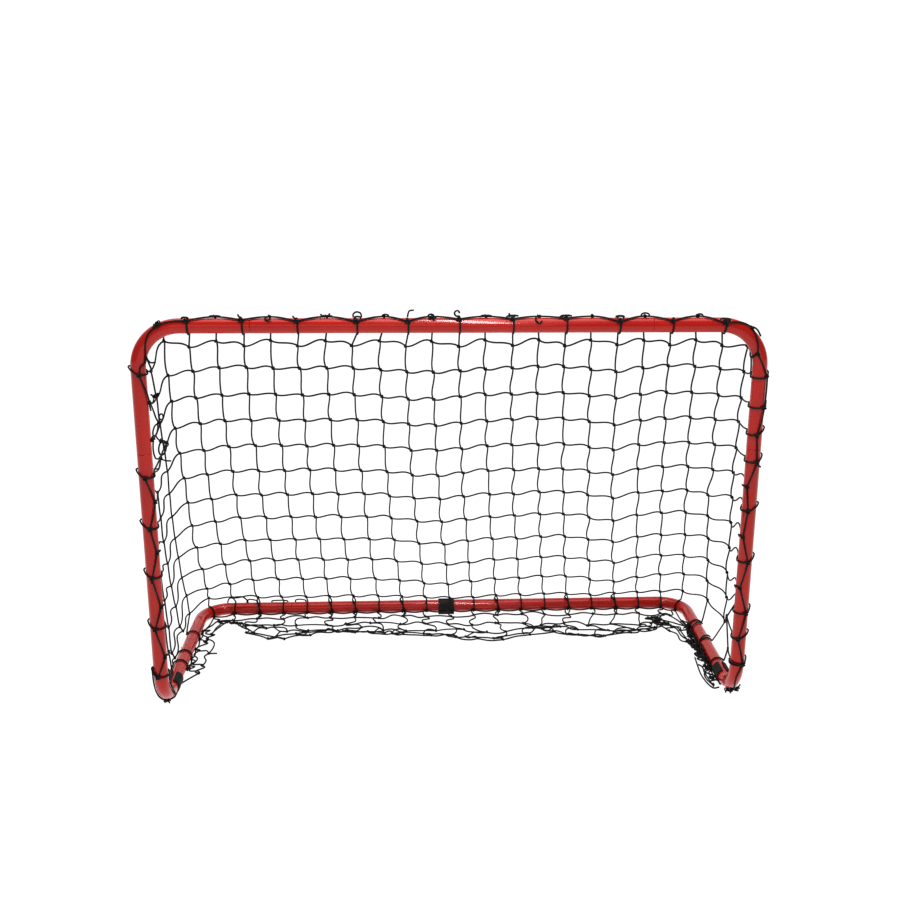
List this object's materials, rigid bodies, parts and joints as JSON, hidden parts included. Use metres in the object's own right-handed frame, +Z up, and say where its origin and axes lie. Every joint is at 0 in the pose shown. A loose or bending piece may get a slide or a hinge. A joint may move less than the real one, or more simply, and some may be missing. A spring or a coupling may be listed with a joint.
{
  "type": "soccer goal",
  "caption": "Portable soccer goal: rounded knock-down frame of red steel tube with push-fit snap-button joints, rubber floor pads and a knotted black net.",
  "frame": {"origin": "on the floor, at the middle of the goal's width and of its depth", "axes": "+X along the crossbar to the right as seen by a player facing the goal, +Y towards the back of the goal, +Z up"},
  "size_m": [1.9, 0.7954, 1.28],
  "materials": {
    "frame_paint": "gloss powder coat",
    "pad_rubber": "matt",
    "button_steel": "zinc plated",
    "spring_steel": "plain spring steel",
    "net_twine": "knotted polyethylene twine"
  },
  "bodies": {
    "goal": {"crossbar": "frame_paint", "top_corner_left": "frame_paint", "top_corner_right": "frame_paint", "lower_post_left": "frame_paint", "lower_post_right": "frame_paint", "rear_corner_left": "frame_paint", "rear_corner_right": "frame_paint", "rear_bar": "frame_paint", "floor_pad_left": "pad_rubber", "floor_pad_right": "pad_rubber", "floor_pad_rear": "pad_rubber", "spring_top_left": "spring_steel", "spring_top_right": "spring_steel", "spring_post_left": "spring_steel", "spring_post_right": "spring_steel", "spring_side_left": "spring_steel", "spring_side_right": "spring_steel", "spring_rear_left": "spring_steel", "spring_rear_right": "spring_steel", "net_back": "net_twine", "net_side_left": "net_twine", "net_side_right": "net_twine", "net_skirt_rear": "net_twine", "net_skirt_left": "net_twine", "net_skirt_right": "net_twine", "net_loops_top": "net_twine", "net_loops_left": "net_twine", "net_loops_right": "net_twine", "net_loops_rear": "net_twine", "foot_tie_left": "net_twine", "foot_tie_right": "net_twine"},
    "button_top_left_body": {"button_top_left": "button_steel"},
    "button_top_right_body": {"button_top_right": "button_steel"},
    "button_post_left_body": {"button_post_left": "button_steel"},
    "button_post_right_body": {"button_post_right": "button_steel"},
    "button_side_left_body": {"button_side_left": "button_steel"},
    "button_side_right_body": {"button_side_right": "button_steel"},
    "button_rear_left_body": {"button_rear_left": "button_steel"},
    "button_rear_right_body": {"button_rear_right": "button_steel"}
  },
  "joints": [
    {"name": "press_top_left", "type": "slide", "parent": "goal", "child": "button_top_left_body", "axis": [0, -1, 0], "range_m": [0, 0.0057], "stiffness_N_per_m": 2500, "springref_m": -0.002, "deforming": ["spring_top_left"]},
    {"name": "press_top_right", "type": "slide", "parent": "goal", "child": "button_top_right_body", "axis": [0, -1, 0], "range_m": [0, 0.0057], "stiffness_N_per_m": 2500, "springref_m": -0.002, "deforming": ["spring_top_right"]},
    {"name": "press_post_left", "type": "slide", "parent": "goal", "child": "button_post_left_body", "axis": [0, -1, 0], "range_m": [0, 0.0057], "stiffness_N_per_m": 2500, "springref_m": -0.002, "deforming": ["spring_post_left"]},
    {"name": "press_post_right", "type": "slide", "parent": "goal", "child": "button_post_right_body", "axis": [0, -1, 0], "range_m": [0, 0.0057], "stiffness_N_per_m": 2500, "springref_m": -0.002, "deforming": ["spring_post_right"]},
    {"name": "press_side_left", "type": "slide", "parent": "goal", "child": "button_side_left_body", "axis": [1, 0, 0], "range_m": [0, 0.0057], "stiffness_N_per_m": 2500, "springref_m": -0.002, "deforming": ["spring_side_left"]},
    {"name": "press_side_right", "type": "slide", "parent": "goal", "child": "button_side_right_body", "axis": [-1, 0, 0], "range_m": [0, 0.0057], "stiffness_N_per_m": 2500, "springref_m": -0.002, "deforming": ["spring_side_right"]},
    {"name": "press_rear_left", "type": "slide", "parent": "goal", "child": "button_rear_left_body", "axis": [0, -1, 0], "range_m": [0, 0.0057], "stiffness_N_per_m": 2500, "springref_m": -0.002, "deforming": ["spring_rear_left"]},
    {"name": "press_rear_right", "type": "slide", "parent": "goal", "child": "button_rear_right_body", "axis": [0, -1, 0], "range_m": [0, 0.0057], "stiffness_N_per_m": 2500, "springref_m": -0.002, "deforming": ["spring_rear_right"]}
  ]
}
